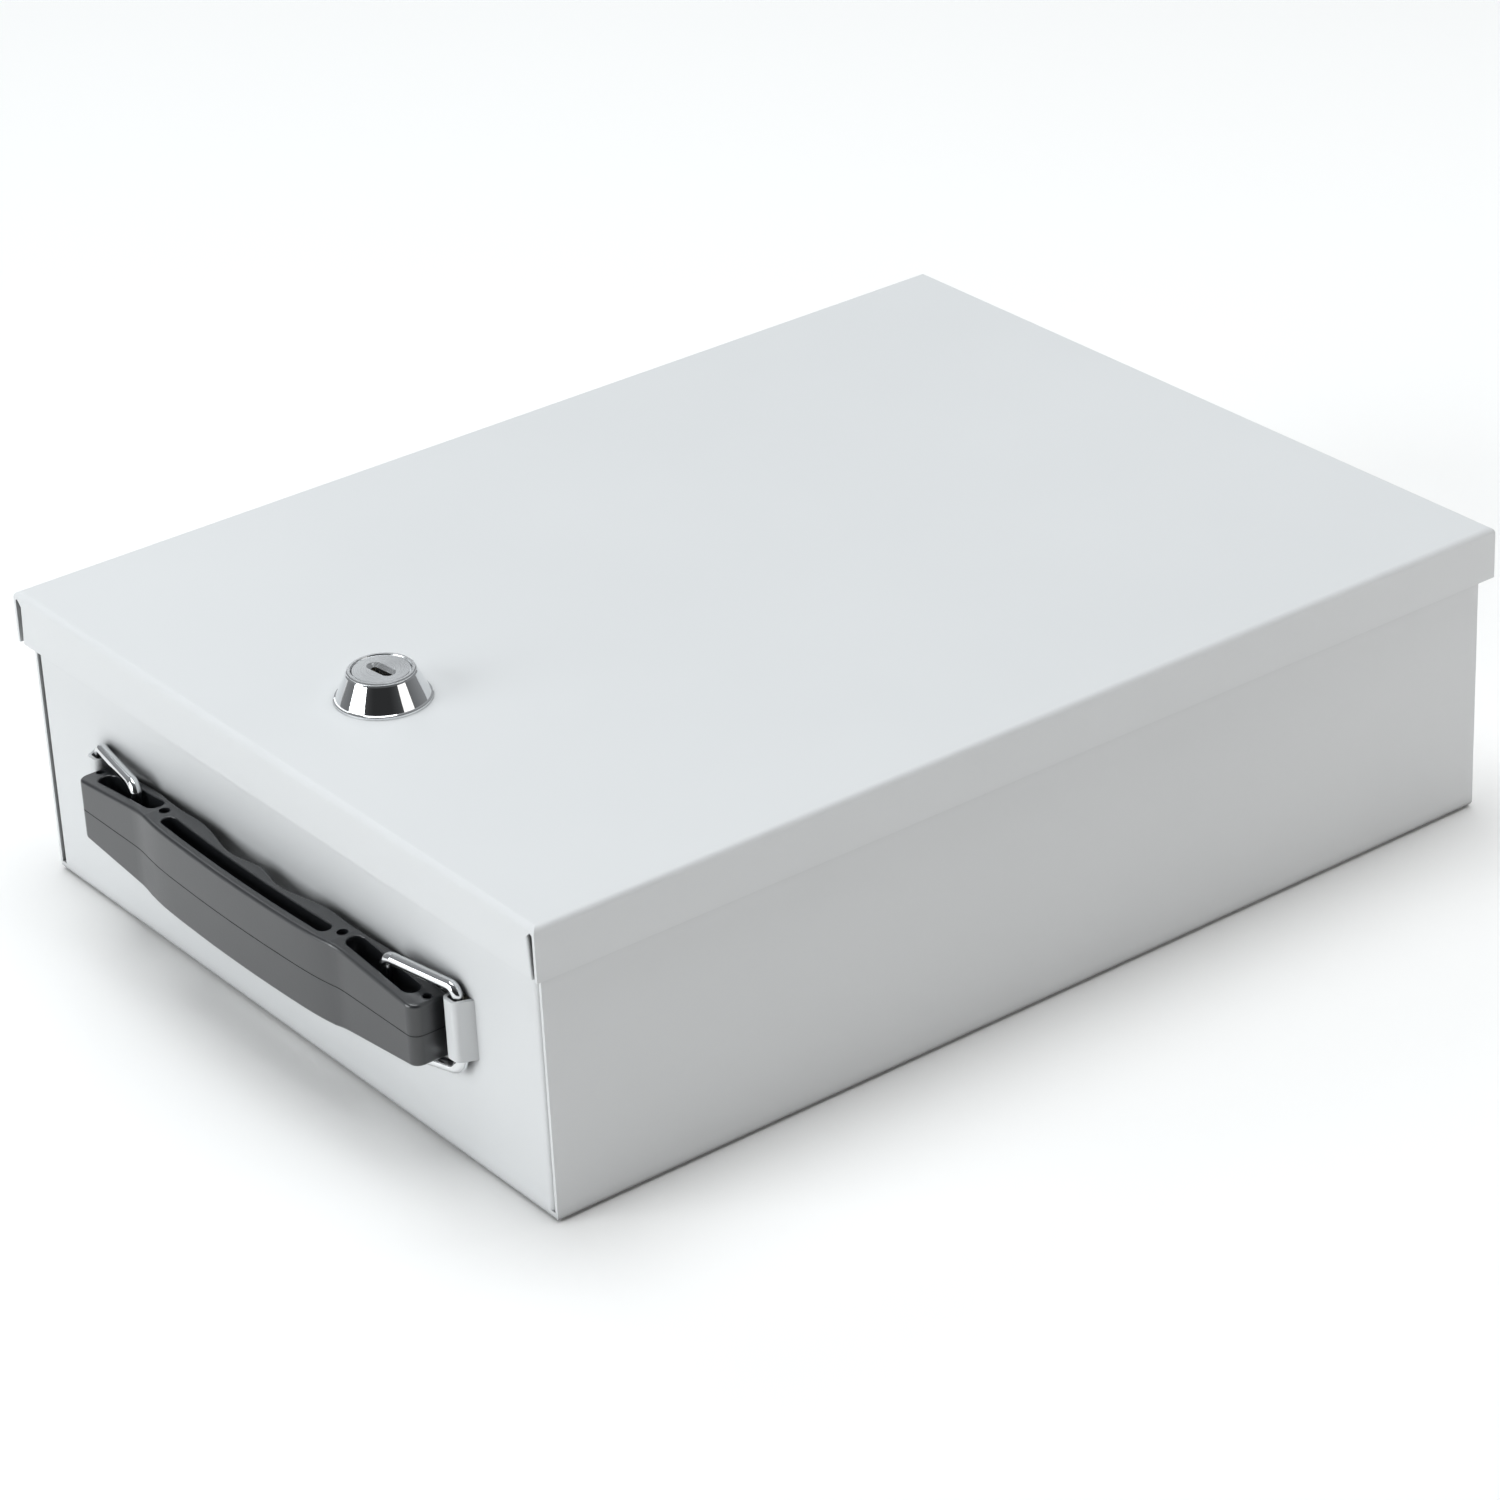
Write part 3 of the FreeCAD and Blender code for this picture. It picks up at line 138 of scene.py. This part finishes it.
def powder_coat():
    """Light grey semi-gloss powder coat with a fine orange-peel surface."""
    m = Shader("powder_coat", Metallic=0.0, Specular_IOR_Level=0.5)
    cloud = m.span(m.noise(9.0, 3.0), 0.0, 1.0, 0.3, 0.7)
    peel = m.noise(1500.0, 2.0)
    fine = m.noise(4200.0, 1.0)
    paint = m.blend(cloud, (0.672, 0.680, 0.686), (0.692, 0.699, 0.704))
    # Painted shade: ambient occlusion darkens the paint's base colour in seams, gaps, under the lid's
    # flanges and behind the grip.
    m.colour(m.with_painted_shade(paint, reach=0.0042, darkest=0.10))
    m.rough(m.span(m.noise(60.0, 4.0), 0.38, 0.45))
    m.bump([(peel, 0.000012), (fine, 0.000004)])
    return m.material


def chrome(name, tint, smooth, hazy):
    """Plated metal: bright, with a faint haze in its polish."""
    m = Shader(name, Metallic=1.0)
    haze = m.noise(220.0, 4.0)
    m.colour(m.blend(haze, tuple(0.97 * c for c in tint), tint))
    m.rough(m.span(haze, smooth, hazy, 0.3, 0.7))
    return m.material


def turned_metal(name, tint, smooth, hazy):
    """Satin metal with the fine circles that turning and polishing leave round the lock axis."""
    m = Shader(name, Metallic=1.0, Anisotropic=0.3)
    low_corner, high_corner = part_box("lock_plug")
    centre = (low_corner + high_corner) / 2
    shift = m.add("ShaderNodeVectorMath", operation="SUBTRACT")
    m.link(m.place, shift.inputs[0])
    shift.inputs[1].default_value = (centre.x, centre.y, 0.0)
    flat = m.add("ShaderNodeVectorMath", operation="MULTIPLY")
    m.link(shift.outputs["Vector"], flat.inputs[0])
    flat.inputs[1].default_value = (1.0, 1.0, 0.0)
    distance = m.add("ShaderNodeVectorMath", operation="LENGTH")
    m.link(flat.outputs["Vector"], distance.inputs[0])
    rings = m.add("ShaderNodeTexNoise", noise_dimensions="1D")
    rings.inputs["Scale"].default_value = 5200.0
    m.link(distance.outputs["Value"], rings.inputs["W"])
    m.colour(m.blend(rings.outputs["Fac"], tuple(0.94 * c for c in tint), tint))
    m.rough(m.span(rings.outputs["Fac"], smooth, hazy, 0.3, 0.7))
    m.bump([(rings.outputs["Fac"], 0.000004)])
    return m.material


def zinc():
    """Zinc-plated steel: dull, slightly blue, with cloudy spangle."""
    m = Shader("zinc_plate", Metallic=1.0)
    cloud = m.noise(700.0, 3.0, 0.6)
    m.colour(m.blend(cloud, (0.52, 0.54, 0.57), (0.66, 0.67, 0.68)))
    m.rough(m.span(cloud, 0.32, 0.46, 0.3, 0.7))
    m.bump([(m.noise(2600.0, 2.0), 0.000006)])
    return m.material


def grip_plastic():
    """Black moulded plastic with a fine spark-eroded texture and shinier edges."""
    m = Shader("grip_plastic", Metallic=0.0, Specular_IOR_Level=1.0)
    cloud = m.noise(90.0, 3.0)
    coarse = m.noise(1400.0, 1.0)
    fine = m.noise(5200.0, 2.0)
    worn = m.edges(radius=0.0009, rounded=0.90, flat=0.999)
    m.colour(m.blend(cloud, (0.012, 0.013, 0.015), (0.017, 0.018, 0.021)))
    m.rough(m.span(worn, 0.31, 0.26))
    m.bump([(fine, 0.000010), (coarse, 0.000008)])
    return m.material


def rubber():
    """Matt dark sealing strip with a slightly grainy surface."""
    m = Shader("seal_strip", Metallic=0.0, Specular_IOR_Level=0.3)
    grain = m.noise(3000.0, 3.0)
    m.colour(m.blend(grain, (0.020, 0.020, 0.021), (0.038, 0.037, 0.036)))
    m.rough(m.span(grain, 0.75, 0.9))
    m.bump([(grain, 0.00004)])
    return m.material


def mineral_board():
    """Paper-faced gypsum board with fibres in its surface."""
    m = Shader("mineral_board", Metallic=0.0, Specular_IOR_Level=0.2)
    fibres = m.noise(900.0, 4.0, 0.6, stretch=(1.0, 0.2, 1.0))
    m.colour(m.blend(fibres, (0.60, 0.57, 0.50), (0.74, 0.71, 0.64)))
    m.rough(m.span(fibres, 0.85, 0.95))
    m.bump([(fibres, 0.00006)])
    return m.material


MATERIALS = {
    "shell_paint": powder_coat(),
    "insulation": mineral_board(),
    "seal": rubber(),
    "zinc_plate": zinc(),
    "pin_steel": chrome("pin_steel", (0.60, 0.61, 0.62), 0.24, 0.34),
    "lock_chrome": chrome("lock_chrome", (0.86, 0.87, 0.88), 0.035, 0.07),
    "lock_satin": turned_metal("lock_satin", (0.74, 0.75, 0.76), 0.20, 0.30),
    "brass": chrome("wafer_brass", (0.70, 0.53, 0.24), 0.25, 0.38),
    "grip_plastic": grip_plastic(),
    "ring_chrome": chrome("ring_chrome", (0.80, 0.81, 0.82), 0.07, 0.13),
}

for entry in frame["record"]["subparts"]:
    mesh = nodes[entry["node"]].data
    mesh.materials.clear()
    mesh.materials.append(MATERIALS[entry["material_slot"]])


# --- Floor, light and camera --------------------------------------------------------------

def floor():
    """A large pale floor, a hair under the box."""
    half = 6.0
    level = -0.0001
    ways = ((-1, -1), (1, -1), (1, 1), (-1, 1))
    mesh = bpy.data.meshes.new("floor")
    mesh.from_pydata([(half * x, half * y, level) for x, y in ways], [], [(0, 1, 2, 3)])
    obj = bpy.data.objects.new("floor", mesh)
    scene.collection.objects.link(obj)
    m = Shader("floor_paper", Metallic=0.0, Roughness=0.6, Specular_IOR_Level=0.2)
    m.colour(m.blend(m.noise(2.0), (0.95, 0.938, 0.925), (0.96, 0.95, 0.94)))
    mesh.materials.append(m.material)


def area_light(name, place, aim, size, watts, colour):
    """A soft box that faces its aim; its size is its width and height."""
    data = bpy.data.lights.new(name, "AREA")
    data.shape = "RECTANGLE"
    data.size, data.size_y = size
    data.energy = watts
    data.color = colour
    obj = bpy.data.objects.new(name, data)
    obj.location = place
    obj.rotation_mode = "QUATERNION"
    obj.rotation_quaternion = (Vector(aim) - Vector(place)).to_track_quat("-Z", "Y")
    obj.visible_camera = False
    scene.collection.objects.link(obj)
    return obj


def studio():
    """Soft light from above and in front; weaker light at the left, right and right rear."""
    cool = (0.95, 0.985, 1.0)
    warm = (1.0, 0.98, 0.96)
    area_light("light_top", (-0.1, 0.1, 1.9), (0, 0, 0), (1.4, 1.4), 27.5, cool)
    area_light("light_front", (-0.35, -1.7, 0.6), (0, 0, 0.03), (1.2, 1.0), 18.5, cool)
    area_light("light_left", (-1.5, 0.3, 1.1), (0, 0, 0), (0.9, 0.9), 3.0, cool)
    area_light("light_right", (1.25, 0.56, 0.62), (0, 0, 0.05), (0.7, 0.6), 1.8, warm)
    rear = area_light(
        "light_rear_right", (0.45, 1.05, 0.14), (0.1, 0.1, 0.04), (0.3, 0.16), 3.6, warm)
    rear.visible_glossy = False


def surroundings():
    """A dim room: light grey behind the box, dark on the side it is seen from."""
    bright_side = (-0.72, 0.53, 0.45)
    world = bpy.data.worlds.new("studio")
    scene.world = world
    world.use_nodes = True
    tree = world.node_tree
    place = tree.nodes.new("ShaderNodeTexCoord")
    towards = tree.nodes.new("ShaderNodeVectorMath")
    towards.operation = "DOT_PRODUCT"
    towards.inputs[1].default_value = bright_side
    tree.links.new(place.outputs["Generated"], towards.inputs[0])
    ramp = tree.nodes.new("ShaderNodeMapRange")
    for socket, amount in (("From Min", -0.6), ("From Max", 0.9), ("To Min", 0.03), ("To Max", 0.36)):
        ramp.inputs[socket].default_value = amount
    tree.links.new(towards.outputs["Value"], ramp.inputs["Value"])
    background = tree.nodes["Background"]
    background.inputs["Color"].default_value = (0.94, 0.97, 1.0, 1.0)
    tree.links.new(ramp.outputs["Result"], background.inputs["Strength"])


def camera():
    """The camera stands in front on the right, and looks down on the box."""
    data = bpy.data.cameras.new("camera")
    data.lens = 119.64
    data.sensor_width = 36.0
    data.clip_start = 0.05
    data.clip_end = 50.0
    obj = bpy.data.objects.new("camera", data)
    place = Vector((0.8212, -0.6095, 0.5750))
    target = Vector((0.0082, -0.0095, 0.0300))
    roll = math.radians(-2.814)
    obj.location = place
    obj.rotation_mode = "QUATERNION"
    obj.rotation_quaternion = (target - place).to_track_quat("-Z", "Y") @ Quaternion((0, 0, 1), roll)
    scene.collection.objects.link(obj)
    scene.camera = obj


floor()
studio()
surroundings()
camera()
scene.view_settings.view_transform = "Standard"
scene.view_settings.look = "None"
